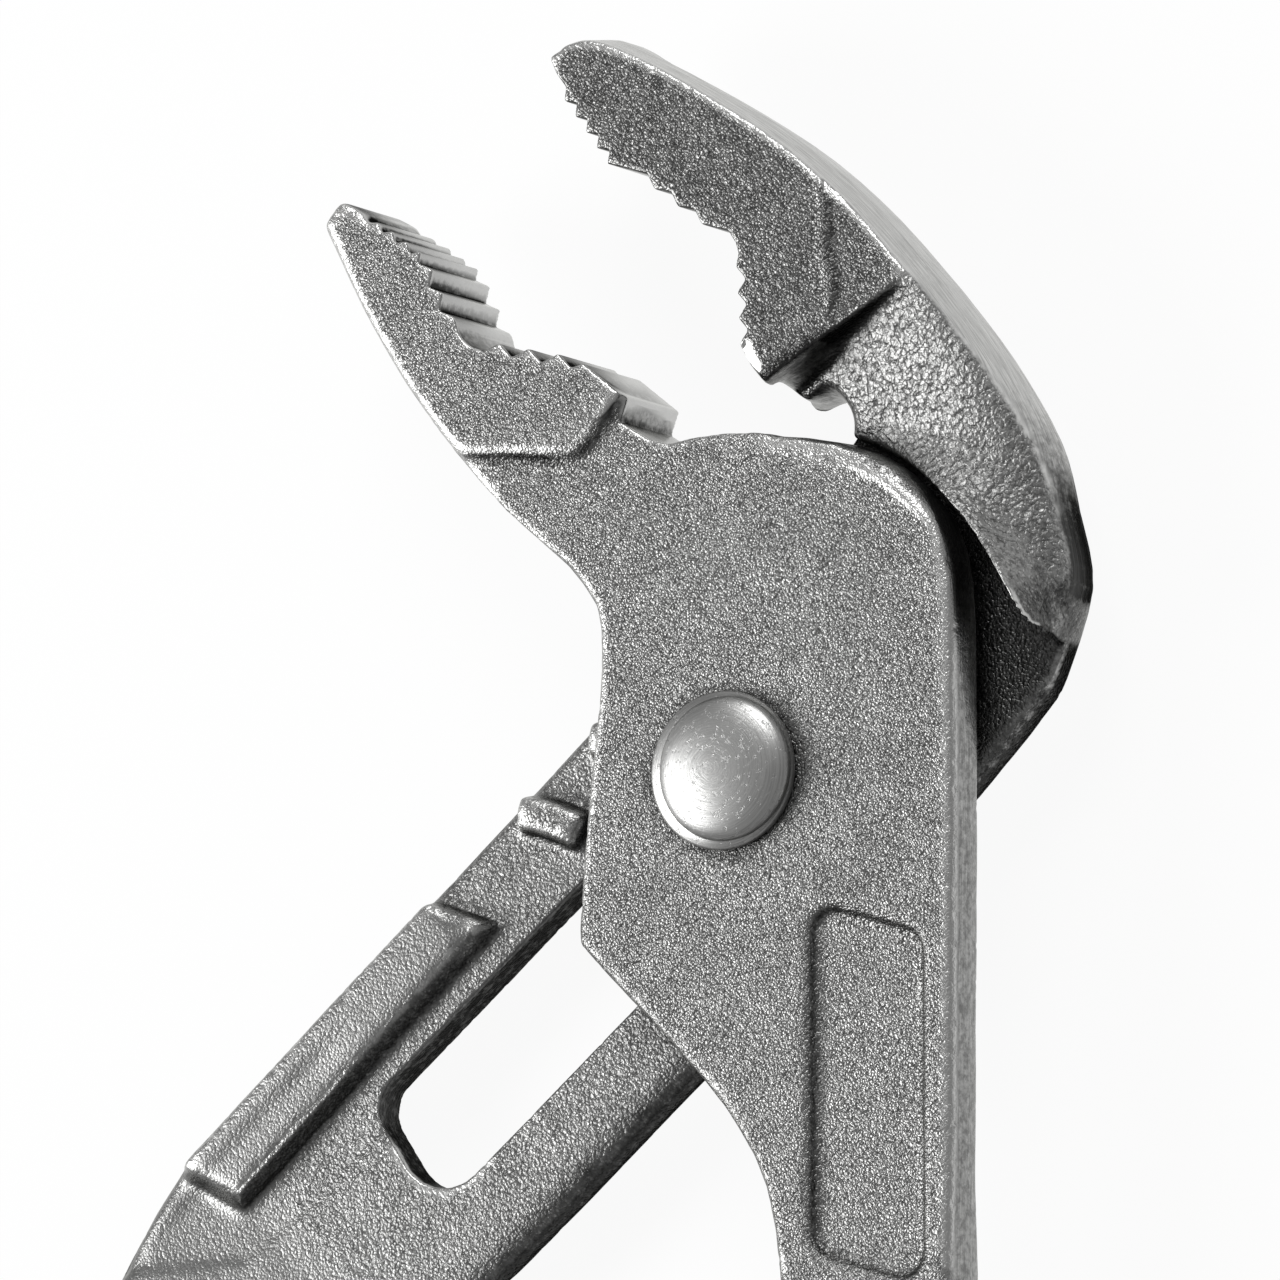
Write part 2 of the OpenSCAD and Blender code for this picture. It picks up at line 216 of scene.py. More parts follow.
# The dies' edges are rounded, least on the cut walls, and most in the hollow and on the neck
crisp = soften(np.maximum.reduce([toothed, heel, 0.7 * ground]), table, 3)
softer = soften(np.maximum.reduce([lug_side, grip, 0.8 * jaw_foot, 0.6 * neck]), table, 6)
rounding = (0.1 + 0.4 * softer) * (1 - 0.85 * crisp)
places = relax(places, table, rounding, rounding_passes)
rim = off_path(x, y, [(44.5, 20.8), (43.9, 12), (42.1, 3), (39, -3.3), (35.2, -9.5), (27.7, -13.5)])
hollow_near = soften(hollow, table, 8) * (1 - step(z, jaw_face - 3, jaw_face - 2))
neck_middle = neck * step(reach, recess_r + 0.6, recess_r + 1.6)
neck_middle *= step(np.abs(rim), 0.8, 1.6) * (1 - step(y, 15, 19))
places = relax(places, table, 0.6 * np.maximum(hollow_near, neck_middle), 10 * rounding_passes)
ledge = band(reach, recess_r - 0.3, recess_r + 2, 0.4) * band(y, -2, 16, 2)
ledge *= step(z, bar_face + 0.5, bar_face + 1.5)
lug_near = soften(raised, table, 8)
places = relax(places, table, 0.6 * np.maximum(ledge, 0.2 * lug_near), 2 * rounding_passes)

# The hollow's foot bulges, the heel is chamfered, the bar swells by the plate, the jaw's far tip reaches out
foot_bulge = np.array((-1.7, 0.9))
heel_slope = 0.32
bar_swell = 0.9
tip_reach = np.array((0.7, 1.4))
jaw_thickness = 11.6
hollow_foot = np.exp(-((x - 27.3) ** 2 + (y - 22.7) ** 2) / 5) * (1 - step(z, back_face + 0.5, back_face + 5))
places[:, :2] += hollow_foot[:, None] * foot_bulge * MM
heel_edge = 26.8 + 0.26 * (y - 26.4)
heel_cut = band(y, 25, 28.2, 0.3) * np.clip(heel_edge + 1.3 - x, 0, 1.8) * step(heel_edge - x, -2, -1.5)
places[:, 2] = np.minimum(places[:, 2], (jaw_face - heel_slope * heel_cut) * MM)
bar_edge = band(x, 23.5, 28.6, 1.2) * band(y, 15.6, 18.6, 0.4) * (1 - step(z, bar_face, bar_face + 1.5))
places[:, 1] += bar_swell * bar_edge * MM
far_tip = step(y, 57, 63) * step(behind_mouth, -0.5, 1) * np.clip((jaw_face - z) / jaw_thickness, 0, 1)
places[:, :2] += far_tip[:, None] * tip_reach * MM
write_places(slotted.data, places)
normals = read_columns(slotted.data, "normal")
edge = bulge(places, normals, table)
in_corner = step(-edge, 0.02, 0.1)
on_edge = step(edge, 0.025, 0.11)
on_lip = step(edge, 0.02, 0.08)

# Die marks: a crease across the jaw's face, and a low step round the end of the long ridge
ridge_step = off_path(x, y, [(-51.9, 3.3), (-58.5, 3), (-69.7, 4.2), (-70.8, 5.4), (-80.3, 12.7)])
broad = lumps(places, 6, 3.1)
fine = lumps(places, 2, 7.7)
pebbled = lumps(places, 0.9, 1.3)
crease = off_path(x, y, [(42.9, 33), (40.1, 29.2), (37, 25)]) + 0.5 * fine
crease_lip = np.exp(-((crease + 0.3) / 0.5) ** 2)
crease_foot = np.exp(-((crease - 0.5) / 0.4) ** 2)
heel_strip = step(heel_cut, 0.1, 0.5)
skin = 1 - np.maximum.reduce([ground, toothed, heel, hollow, heel_strip])
rise = 0.03 * broad + 0.02 * fine + 0.06 * neck * pebbled
rise += jaw_top * (0.14 * crease_lip - 0.18 * step(crease, 0, 0.7) * step(6 - crease, 0, 4))
rise -= 0.22 * facing * (1 - step(ridge_step, -0.8, 0.8)) * step(-45 - x, 0, 8) * band(y, -17, 13, 1)
rise -= 0.07 * step(edge, 0.03, 0.1) * step(pebbled, 0.1, 0.6)
places += normals * (skin * rise * MM)[:, None]
write_places(slotted.data, places)

# Scale stays dark where nothing rubs, and painted shade shares its paint: walls and corners, the recess under
# the plate, the hollow and round it, the jaw's foot, the neck's lower end, the bar's lower rim, the foot of
# the ground wall, the crease's foot and the ridge's step line are painted in shade, and the teeth darker
# towards the jaw's face. The jaw's face and the neck's rim are darker
neck_rim = neck * band(np.abs(rim), 0.9, 2.8, 0.7)
bar_rim = facing * band(x, -62, 10, 4) * (1 - step(y, -14.5, -9.5))
slot_wall = upright * band(x, -53, 8, 0.5) * band(y, -6.9, 6.9, 0.3)
ridge_top = raised * step(nz, 0.7, 0.9)
depth = np.clip((jaw_face - z) / 8, 0, 1)
by_hollow = soften(hollow, table, 24) * (1 - hollow)
shoulder_end = (1 - step(y, -8, -5)) * step(reach, recess_r - 0.4, recess_r + 0.2) * step(x, 22, 25)
far_grip = 1 - step(x, -95, -78)
shaded_walls = upright * skin * (1 - neck) * (1 - 0.35 * shoulder_end) * (1 - 0.8 * ledge)
# painted shade: walls painted dark, less on the lugs' sides and the far grip
scale = (0.85 - 0.3 * lug_side - 0.45 * far_grip) * shaded_walls
# painted shade in corners
scale += (0.75 - 0.6 * lug_side) * in_corner * (1 - 0.5 * shoulder_end)
# the jaw's face and the neck's rim darker; painted shade in the recess under the plate and on the bar's lower
# rim
scale += 0.35 * jaw_top + 0.2 * neck_rim + 0.4 * recess + 0.4 * bar_rim
# painted shade at the jaw's foot and round the hollow
scale += 0.1 * jaw_foot * upright + 2 * by_hollow
# painted shade at the foot of the ground wall, on the teeth towards the jaw's face, and in the hollow
scale += 1.15 * ground * (1 - step(y, -12, 13)) + toothed * (0.8 - 0.6 * depth) + 0.45 * hollow
# painted shade along the ridge's step line
scale += 0.05 * facing * np.exp(-(ridge_step / 0.4) ** 2) * step(-45 - x, 0, 8)
# painted shade on the neck's lower end
scale += 0.7 * neck * (1 - step(y, -10, -7.5)) * step(reach, recess_r + 0.8, recess_r + 2)
# painted shade at the crease's foot; random dark patches on the faces
scale += 0.3 * jaw_top * crease_foot + 0.2 * step(broad, 0.1, 0.5) * facing * (1 - jaw_top)
scale += 0.6 * ridge_top * step(y, 13.6, 15) * step(fine, -0.1, 0.4) - 0.3 * ridge_top

# Bare steel shows on edges, most along the jaw's ground back and least where a lip is sheltered. A painted
# highlight runs along the crease's lip
jaw_back = [(44.5, 19), (44.4, 30.2), (43.3, 39.2), (41, 48), (38, 56.7), (35.7, 61.1), (32, 63.5)]
off_back = step(np.abs(off_path(x, y, jaw_back)), 1.2, 2)
edge_share = 0.25 + 0.75 * (1 - off_back) * step(y, 19, 22) + 0.35 * soften(toothed, table, 4)
edge_share += 0.9 * band(x, -53, -44, 1) * band(y, -7.4, 2, 0.6) * step(z, bar_face - 1.2, bar_face - 0.8)
edge_share += 0.35 * lug_near
edge_share *= 1 - 0.9 * band(y, 15, 26, 1) * off_back * step(x, 24, 25)
edge_share *= 1 - 0.8 * (1 - step(y, -13, -11)) * (1 - step(x, 10, 20))
shoulder_lip = step(-y, 4, 9) * step(z, bar_face + 4, bar_face + 6)
shoulder_lip *= 1 - step(np.abs(reach - recess_r), 0.3, 0.9)
scar = np.exp(-(off_path(x, y, [(-39.7, -7), (-38.6, -9.5), (-38.1, -11.7)]) / 0.5) ** 2)
bare = edge_share * on_edge + 0.45 * facing * scar + 1.2 * heel_strip
# painted highlight along the crease's lip
bare += 0.8 * shoulder_lip * on_lip + 0.15 * jaw_top * crease_lip
grind_start = np.exp(-((nz - 0.38) / 0.16) ** 2) * (1 - step(np.abs(rim), 1.5, 2.5)) * (1 - step(y, 18, 21))
bare += 0.75 * grind_start * step(y, -8, -5) * step(fine + 0.6 * pebbled, -0.5, 0.3)
recess_rim = band(z, bar_face - 1, bar_face + 0.4, 0.2) * step(x, 8, 12) * (1 - step(y, -10, -7))
bare += 0.25 * recess_rim * on_lip

# Hands and the other lever rub the handle, the long ridge and patches of the bar. The bar is a little pebbled
rubbed_and_highlight = ridge_top * (0.8 - 0.45 * step(x, -33, -31)) + 0.85 * facing * grip
rubbed_and_highlight += 0.4 * facing * (1 - step(x, 0, 10)) * step(-broad, -0.4, 0.5)
rubbed_and_highlight *= 1 - 0.7 * bar_rim
pebbly = 0.28 * (1 - step(x, 18, 24)) * (1 - 0.6 * np.maximum(ridge_top, facing * grip))
# the scale paint is dark scale with painted shade; the bare paint is bare steel with painted highlights
paint(slotted.data, "scale", soften(scale, table, 2))
paint(slotted.data, "bare", soften(bare, table, 1))
paint(slotted.data, "rubbed_and_highlight", soften(rubbed_and_highlight, table, 4))
paint(slotted.data, "ground", soften(np.maximum.reduce([ground, 0.8 * hollow, 0.75 * slot_wall]), table, 1))
paint(slotted.data, "milled", soften(np.maximum.reduce([toothed, heel, heel_strip]), table, 1))
paint(slotted.data, "coarse", soften(np.maximum(neck, pebbly), table, 4))
thin_out(slotted)


def shader(tree, kind, values=None, **settings):
    """Adds a node of that kind, with its settings and the values of its inputs."""
    node = tree.nodes.new(kind)
    for name, value in settings.items():
        setattr(node, name, value)
    for socket, value in (values or {}).items():
        if isinstance(value, bpy.types.NodeSocket):
            tree.links.new(value, node.inputs[socket])
        else:
            node.inputs[socket].default_value = value
    return node


def math_node(tree, operation, *values):
    return shader(tree, "ShaderNodeMath", dict(enumerate(values)), operation=operation).outputs[0]


def vector_node(tree, operation, values):
    return shader(tree, "ShaderNodeVectorMath", values, operation=operation).outputs[0]


def mask(tree, value, start, end, low=0, high=1):
    """Value from start to end as low to high, smoothly."""
    spread = {"Value": value, "From Min": start, "From Max": end, "To Min": low, "To Max": high}
    return shader(tree, "ShaderNodeMapRange", spread, interpolation_type="SMOOTHSTEP").outputs["Result"]


def blend_colour(tree, share, low, high):
    node = shader(tree, "ShaderNodeMix", {"Factor": share}, data_type="RGBA")
    for socket, value in ((node.inputs[6], low), (node.inputs[7], high)):
        if isinstance(value, bpy.types.NodeSocket):
            tree.links.new(value, socket)
        else:
            socket.default_value = value
    return node.outputs[2]


def blend_value(tree, share, low, high):
    return shader(tree, "ShaderNodeMix", {"Factor": share, 2: low, 3: high}, data_type="FLOAT").outputs[0]


def grey(level):
    return (level, level, 0.985 * level, 1)


def cover(tree, colour, share, most, level):
    """Lays a grey over a colour by a mask, at most that much."""
    return blend_colour(tree, math_node(tree, "MULTIPLY", share, most), colour, grey(level))


def new_group(name, inputs, outputs):
    """Shader group with float inputs and their usual values, and float outputs."""
    group = bpy.data.node_groups.new(name, "ShaderNodeTree")
    for socket, value in inputs.items():
        made = group.interface.new_socket(socket, in_out="INPUT", socket_type="NodeSocketFloat")
        made.default_value = value
    for socket in outputs:
        group.interface.new_socket(socket, in_out="OUTPUT", socket_type="NodeSocketFloat")
    return group, group.nodes.new("NodeGroupInput"), group.nodes.new("NodeGroupOutput")


def spot_in_mm(tree):
    spot = shader(tree, "ShaderNodeTexCoord").outputs["Object"]
    return vector_node(tree, "SCALE", {0: spot, "Scale": 1 / MM})


def cloud(tree, vector, scale, detail, roughness=0.55):
    values = {"Vector": vector, "Scale": scale, "Detail": detail, "Roughness": roughness}
    return shader(tree, "ShaderNodeTexNoise", values).outputs["Fac"]


# Skin that the dies and the blasting leave: fine grains or pebbles with painted shade in the gaps between
# them, bright flakes painted as glints, wide patches, and crumbs that break up the borders of other finishes
forged_skin, skin_in, skin_out = new_group(
    "forged_skin", {"Grain mm": 0.4, "Coarse": 0}, ("Height", "Gap_shade", "Glint_flake", "Patch", "Crumble")
)
skin_spot = spot_in_mm(forged_skin)
wander_values = {"Vector": skin_spot, "Scale": 1.6, "Detail": 2}
wander = shader(forged_skin, "ShaderNodeTexNoise", wander_values).outputs["Color"]


def pebbles(tree, size_mm, wandering):
    """Rounded cells of about that size: their height from gaps to tops, and a random number for each cell."""
    drift = vector_node(tree, "SCALE", {0: wander, "Scale": wandering})
    spot = vector_node(tree, "ADD", {0: skin_spot, 1: drift})
    scale = math_node(tree, "DIVIDE", 1, size_mm)
    cells = shader(tree, "ShaderNodeTexVoronoi", {"Vector": spot, "Scale": scale}, feature="F1")
    fall = math_node(tree, "MULTIPLY", cells.outputs["Distance"], cells.outputs["Distance"])
    chance = shader(tree, "ShaderNodeSeparateXYZ", {0: cells.outputs["Color"]}).outputs["X"]
    return math_node(tree, "MULTIPLY_ADD", fall, -1.5, 1), chance


grains, chance = pebbles(forged_skin, skin_in.outputs["Grain mm"], 0.4)
stones = pebbles(forged_skin, 0.48, 0.8)[0]
lumpy = mask(forged_skin, cloud(forged_skin, skin_spot, 1.2, 2), 0.3, 0.7)
lumpy = math_node(forged_skin, "MULTIPLY_ADD", stones, 1.6, lumpy)
grit = cloud(forged_skin, skin_spot, 3, 1)
tops = blend_value(forged_skin, skin_in.outputs["Coarse"], grains, lumpy)
height = math_node(forged_skin, "MULTIPLY_ADD", grit, 0.9, tops)
bright_cells = mask(forged_skin, chance, 0.6, 0.9)
# painted glints: bright cells on grain tops
glint_flakes = math_node(forged_skin, "MULTIPLY", bright_cells, mask(forged_skin, grains, 0.5, 0.9))
patches = cloud(forged_skin, skin_spot, 0.22, 4, 0.6)
crumbs = cloud(forged_skin, skin_spot, 1.3, 3, 0.65)
# painted shade in the gaps between grains and between stones
gap_shade = mask(forged_skin, math_node(forged_skin, "MULTIPLY_ADD", grit, 0.9, grains), 0.55, 1.15, 1, 0)
gap_shade = blend_value(forged_skin, skin_in.outputs["Coarse"], gap_shade, mask(forged_skin, stones, 0.3, 0.7, 1, 0))
forged_skin.links.new(height, skin_out.inputs["Height"])
forged_skin.links.new(gap_shade, skin_out.inputs["Gap_shade"])
forged_skin.links.new(glint_flakes, skin_out.inputs["Glint_flake"])
forged_skin.links.new(mask(forged_skin, patches, 0.35, 0.65), skin_out.inputs["Patch"])
forged_skin.links.new(mask(forged_skin, crumbs, 0.3, 0.7, -0.5, 0.5), skin_out.inputs["Crumble"])

# Fine lines along a wall, as a grinding belt or the trimming die leaves them
wall_lines, lines_in, lines_out = new_group("wall_lines", {"Spacing mm": 0.2}, ("Lines",))
along_wall = vector_node(wall_lines, "MULTIPLY", {0: spot_in_mm(wall_lines), 1: (0.05, 0.05, 1)})
line_scale = math_node(wall_lines, "DIVIDE", 1, lines_in.outputs["Spacing mm"])
lines = cloud(wall_lines, along_wall, line_scale, 3, 0.6)
wall_lines.links.new(mask(wall_lines, lines, 0.3, 0.7), lines_out.inputs["Lines"])


def painted(tree, name):
    return shader(tree, "ShaderNodeAttribute", attribute_name=name).outputs["Fac"]


skin_depth = 0.055 * MM


def forged_steel(name, dark, light, grain_mm):
    """Blasted forging steel: grained skin, rubbed and cut faces, dark scale with painted shade on walls and
    in corners, bare edges with painted highlights.
    """
    steel = bpy.data.materials.new(name)
    steel.use_nodes = True
    tree = steel.node_tree
    surface = tree.nodes["Principled BSDF"]
    surface.inputs["Metallic"].default_value = 1
    coarse = painted(tree, "coarse")
    skin = shader(tree, "ShaderNodeGroup", {"Coarse": coarse}, node_tree=forged_skin)
    skin.inputs["Grain mm"].default_value = grain_mm
    lines = shader(tree, "ShaderNodeGroup", node_tree=wall_lines).outputs["Lines"]
    crumble = skin.outputs["Crumble"]
    ground = painted(tree, "ground")
    milled = painted(tree, "milled")
    rubbed_and_highlight = mask(tree, math_node(tree, "MULTIPLY_ADD", crumble, 0.5, painted(tree, "rubbed_and_highlight")), 0.2, 0.8)
    # the scale paint holds dark scale together with painted shade on walls, in corners and hollows
    scale_and_shade = mask(tree, math_node(tree, "MULTIPLY_ADD", crumble, 0.35, painted(tree, "scale")), 0.05, 0.95)
    bared = mask(tree, math_node(tree, "MULTIPLY_ADD", crumble, 0.35, painted(tree, "bare")), 0.15, 0.85)

    colour = blend_colour(tree, skin.outputs["Patch"], grey(dark), grey(light))
    colour = cover(tree, colour, coarse, 0.5, 0.44)
    # painted shade in the gaps between grains
    colour = cover(tree, colour, skin.outputs["Gap_shade"], 0.4, 0.04)
    # painted glints on bright flakes
    colour = cover(tree, colour, skin.outputs["Glint_flake"], 0.6, 0.5)
    # rubbed faces lighten, with painted highlights beside the plate's rim and round its corner
    colour = cover(tree, colour, rubbed_and_highlight, 0.75, 0.28)
    colour = blend_colour(tree, ground, colour, blend_colour(tree, lines, grey(0.32), grey(0.55)))
    colour = blend_colour(tree, milled, colour, grey(0.42))
    # dark scale and painted shade
    colour = cover(tree, colour, scale_and_shade, 0.92, 0.03)
    # bare steel and painted highlights
    colour = cover(tree, colour, bared, 0.8, 0.6)
    tree.links.new(colour, surface.inputs["Base Color"])
    # painted shade: darker grazing reflections where the scale paint is strong
    scale_and_shade_tint = mask(tree, painted(tree, "scale"), 0.52, 0.85)
    tree.links.new(blend_colour(tree, scale_and_shade_tint, grey(1), grey(0.15)), surface.inputs["Specular Tint"])

    worn = math_node(tree, "MAXIMUM", bared, rubbed_and_highlight)
    rough = blend_value(tree, coarse, 0.33, 0.45)
    rough = blend_value(tree, worn, rough, 0.36)
    rough = blend_value(tree, ground, rough, blend_value(tree, lines, 0.36, 0.28))
    rough = blend_value(tree, milled, rough, 0.3)
    tree.links.new(rough, surface.inputs["Roughness"])

    kept = math_node(tree, "MULTIPLY_ADD", worn, -0.5, 1)
    height = math_node(tree, "MULTIPLY", skin.outputs["Height"], kept)
    height = blend_value(tree, ground, height, math_node(tree, "MULTIPLY", lines, 0.3))
    height = blend_value(tree, milled, height, 0.5)
    bump = shader(tree, "ShaderNodeBump", {"Strength": 1, "Distance": skin_depth, "Height": height})
    tree.links.new(bump.outputs["Normal"], surface.inputs["Normal"])
    return steel


slotted.data.materials.clear()
slotted.data.materials.append(forged_steel("slotted_lever_steel", 0.16, 0.21, 0.28))
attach(slotted, "slotted_lever")
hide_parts("slotted_lever")


# Plate lever: the front half, one drop forging too: lower jaw, pivot plate with a tongue behind, and handle.
# It lies over the slotted bar. Its skin is blasted like the other's, with a plain sunk panel down the handle.
plate = forged_blank("plate_lever", "plate_lever_forging")
table = neighbour_table(plate.data)
places = read_columns(plate.data, "co")
normals = read_columns(plate.data, "normal")

# Places in mm, turned so that y runs along the handle towards the jaw
rest_turn = math.radians(41)
along_handle = np.array([
    [math.cos(rest_turn), math.sin(rest_turn)],
    [-math.sin(rest_turn), math.cos(rest_turn)],
])
jaw_rise = 0.8
x, y = (places[:, :2] / MM @ along_handle).T
z = places[:, 2] / MM
even_normals = soften(normals, table, 2)
nx = (even_normals[:, :2] @ along_handle)[:, 0]
nz = even_normals[:, 2]
plate_face = z.max() - jaw_rise
jaw_back = [(-42.7, 53.8), (-34.3, 38.8), (-23.5, 25.7)]
jaw_step = [(-30, 31.3), (-21.2, 30.8), (-15.8, 30.3), (-12.7, 33.3), (-10.4, 36), (-9, 40)]
rim_line = [(5, 30), (11.7, 28.2), (17.2, 25.2), (22.1, 20.6), (23.3, 14.2), (23.6, -4.1), (23.1, -45)]
flash_line = [(-15.7, -13.8), (-14.7, -16.2), (-8.7, -22.3), (-2.8, -28.4), (0.9, -33.2), (5, -47)]
panel_middle, panel_half = (14.4, -30.2), (5.7, 16)

# Where the finishes lie: milled teeth, drawn right wall, step of the jaw, border of the panel, handle
from_pivot = np.hypot(x, y)
right_rim = off_path(x, y, rim_line)
flash = off_path(x, y, flash_line)
behind_step = off_path(x, y, jaw_step)
corner = 1 - step(np.hypot(x - 19.5, y - 24.5), 4, 9)
upright = 1 - step(np.abs(nz), 0.5, 0.8)
facing = step(nz, 0.35, 0.6)
looks_up = step(nz, 0.2, 0.5)
from_back = off_path(x, y, jaw_back)
toothed = upright * step(from_back, 1.8, 2.6) * step(y, 33.2, 34) * (1 - step(x, -11, -10))
block_end = upright * band(x, -11, -4.5, 0.5) * band(y, 30.5, 37.5, 0.5)
toothed = np.maximum(toothed, block_end)
drawn = upright * step(x, 20, 22) * step(nx, 0.3, 0.6)
by_step = (1 - step(np.abs(behind_step), 1.2, 2.2)) * step(z, plate_face - 0.5, plate_face - 0.2)
from_panel = np.maximum(
    np.abs(x - panel_middle[0]) - panel_half[0],
    np.abs(y + 0.3 * (x - panel_middle[0]) - panel_middle[1]) - panel_half[1],
)
by_panel = (1 - step(np.abs(from_panel), 1.4, 2.6)) * step(z, plate_face - 1.6, plate_face - 1.2)
jaw_tip = step(y - x, 88, 92)
grip = 1 - step(y, -62, -50)

# Edges are rounded, least on the teeth and most at the step, the panel and the jaw's tip. The corner's
# top is drawn a little along the rim
corner_shift = 0.8
crisp = soften(toothed, table, 3) * (1 - jaw_tip)
softer = soften(np.maximum.reduce([by_step, 0.9 * by_panel, 0.6 * grip, jaw_tip]), table, 6)
rounding = (0.1 + 0.4 * softer) * (1 - 0.85 * crisp)
places = relax(places, table, rounding, rounding_passes)
rolled = 0.06 * np.maximum(corner, step(x, 20, 22))
rolled *= band(right_rim, -0.6, 4, 0.4) * step(z, plate_face - 4, plate_face - 2.5)
step_bend = by_step * (1 - step(np.hypot(x + 14.5, y - 30.8), 2.5, 4))
places = relax(places, table, 0.6 * np.maximum(rolled, 0.3 * step_bend), 4 * rounding_passes)
drawn_on = corner_shift * corner * step(from_pivot, 27, 29) * step(z, plate_face - 4.5, plate_face - 1)
places[:, :2] += (drawn_on / from_pivot)[:, None] * (np.stack([x, y], 1) @ along_handle) * MM
write_places(plate.data, places)
normals = read_columns(plate.data, "normal")
edge = bulge(places, normals, table)
in_corner = step(-edge, 0.02, 0.1)
on_edge = step(edge, 0.025, 0.11)

# A low bead runs round the corner's rim, and the edges are chipped
broad = lumps(places, 6, 5.3)
fine = lumps(places, 2, 9.1)
chips = lumps(places, 0.9, 2.9)
bead = np.exp(-(right_rim / 0.5) ** 2) * step(nz, 0.2, 0.4)
rise = 0.05 * broad + 0.02 * fine + 0.15 * corner * bead
rise -= 0.07 * step(edge, 0.03, 0.1) * step(chips, 0.1, 0.6)
places += normals * ((1 - toothed) * rise * MM)[:, None]
write_places(plate.data, places)

# Scale and painted shade share one paint: walls and corners painted in shade, the teeth darker towards the
# jaw's face, a painted shadow with grime round the bolt's head, painted shade beside the corner's bead and at
# the foot of the jaw's step, and a darker band along the trimmed flash
by_bolt = facing * (1 - step(from_pivot, 7.4, 9.6))
depth = np.clip((plate_face + jaw_rise - z) / 8, 0, 1)
block_near = soften(block_end, table, 10)
far_grip = 1 - step(y, -80, -60)
# painted shade: walls painted dark, less on the drawn wall, by the panel and on the far grip
scale = (0.7 - 0.25 * drawn - 0.15 * by_panel - 0.2 * far_grip) * upright * (1 - toothed) * (1 - corner)
# painted shade in corners, less by the panel and none by the jaw's block
scale += (0.8 - 0.55 * by_panel) * in_corner * (1 - block_near)
# painted shadow with grime round the bolt's head; random dark patches on the faces
scale += 0.5 * by_bolt + 0.12 * step(broad, 0.1, 0.5) * facing
# painted shade: the teeth darker towards the jaw's face
scale += toothed * (0.85 - 0.4 * depth) * (1 - 0.35 * block_end)
scale += 0.3 * facing * np.exp(-((np.abs(flash) - 2 - 0.5 * fine) / 0.4) ** 2)
# painted shade on the rolled edge outside the corner's bead
scale += 0.2 * corner * band(right_rim, 0.9, 1.4, 0.2)
# painted shade at the foot of the jaw's step
scale += 0.45 * np.exp(-((behind_step + 0.7) / 0.5) ** 2) * facing * band(x, -18, -10, 1)

# Bare steel shows on edges and the jaw's back. The corner's bead is bare and carries a painted highlight, and
# painted highlights lie on the step's lip and beside the right rim
edge_share = 0.5 + 0.5 * soften(toothed, table, 4) - 0.3 * soften(by_panel, table, 4)
edge_share *= 1 - 0.7 * np.maximum(1 - step(np.abs(flash), 1, 2.5), 0.5 * corner * step(right_rim, 0.5, 1))
lip = np.exp(-((behind_step - 0.5) / 0.4) ** 2) * facing * step(-8 - x, 0, 1)
# painted highlight on the corner's bead and on the step's lip, over bare edges
bare = edge_share * on_edge + (0.05 + 1.1 * corner) * bead + 0.55 * lip * step(fine, -0.8, -0.2)
bare += 0.5 * looks_up * (1 - step(from_back, 0.6, 1.6)) * step(y, 26, 29)
bare += 0.4 * jaw_tip * step(edge, 0.01, 0.06)
bare += 0.5 * block_near * step(nz, 0.3, 0.6) * step(-edge, 0, 0.06)
# painted highlight beside the right rim
bare += 0.45 * looks_up * band(-right_rim, -1, 1.6, 0.6) * (1 - corner)

# Rubbed faces: in front of the step, down the handle, along the flash. Beside the right rim and round the
# corner the lighter paint is painted highlight
# painted highlight beside the right rim
rubbed_and_highlight = 0.2 * looks_up * band(-right_rim, -0.3, 2, 0.6)
rubbed_and_highlight += 0.6 * facing * step(behind_step, 0, 0.4) * (1 - step(behind_step, 1.5, 4.5)) * step(x, -24, -14)
# painted highlight on the rolled edge round the corner; the handle rubbed
rubbed_and_highlight += 0.5 * corner * step(right_rim, 0.3, 0.8) + 0.25 * facing * (1 - step(y, -40, 0))
rubbed_and_highlight += 0.4 * facing * (1 - step(np.abs(flash), 1, 2))
rubbed_and_highlight += 0.5 * looks_up * (1 - step(from_back, 1, 2.4)) * step(y, 25, 27)
# the scale paint is dark scale with painted shade; the bare and rubbed paints hold painted highlights too
paint(plate.data, "scale", soften(scale, table, 2))
paint(plate.data, "bare", soften(bare, table, 1))
paint(plate.data, "rubbed_and_highlight", soften(rubbed_and_highlight, table, 4))
paint(plate.data, "ground", soften(0.7 * drawn, table, 4))
paint(plate.data, "milled", soften(toothed, table, 1))
paint(plate.data, "coarse", np.zeros(len(places)))
thin_out(plate)
plate.data.materials.clear()
plate.data.materials.append(forged_steel("plate_lever_steel", 0.2, 0.25, 0.24))
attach(plate, "plate_lever")
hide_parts("plate_lever")


# Pivot bolt: a shoulder bolt turned from bright bar, with a low dome in a brim, spun and then knocked about.
# Its shoulder runs in the plate's bore and the slot, and its end is screwed into the nut.
_, bolt_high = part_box("pivot_bolt")
head_height, brim_height, brim_edge = 2.8, 1, 0.35
head_r = bolt_high[0] / MM
head_top = bolt_high[2] / MM
head_seat = head_top - head_height
brim_top = head_seat + brim_height
dome_foot_r = head_r - 0.7
dome_off = (0.45, -0.3)
shoulder_r, shoulder_foot = 6.2, 5
tail_r, tail_chamfer = 4.95, 0.4


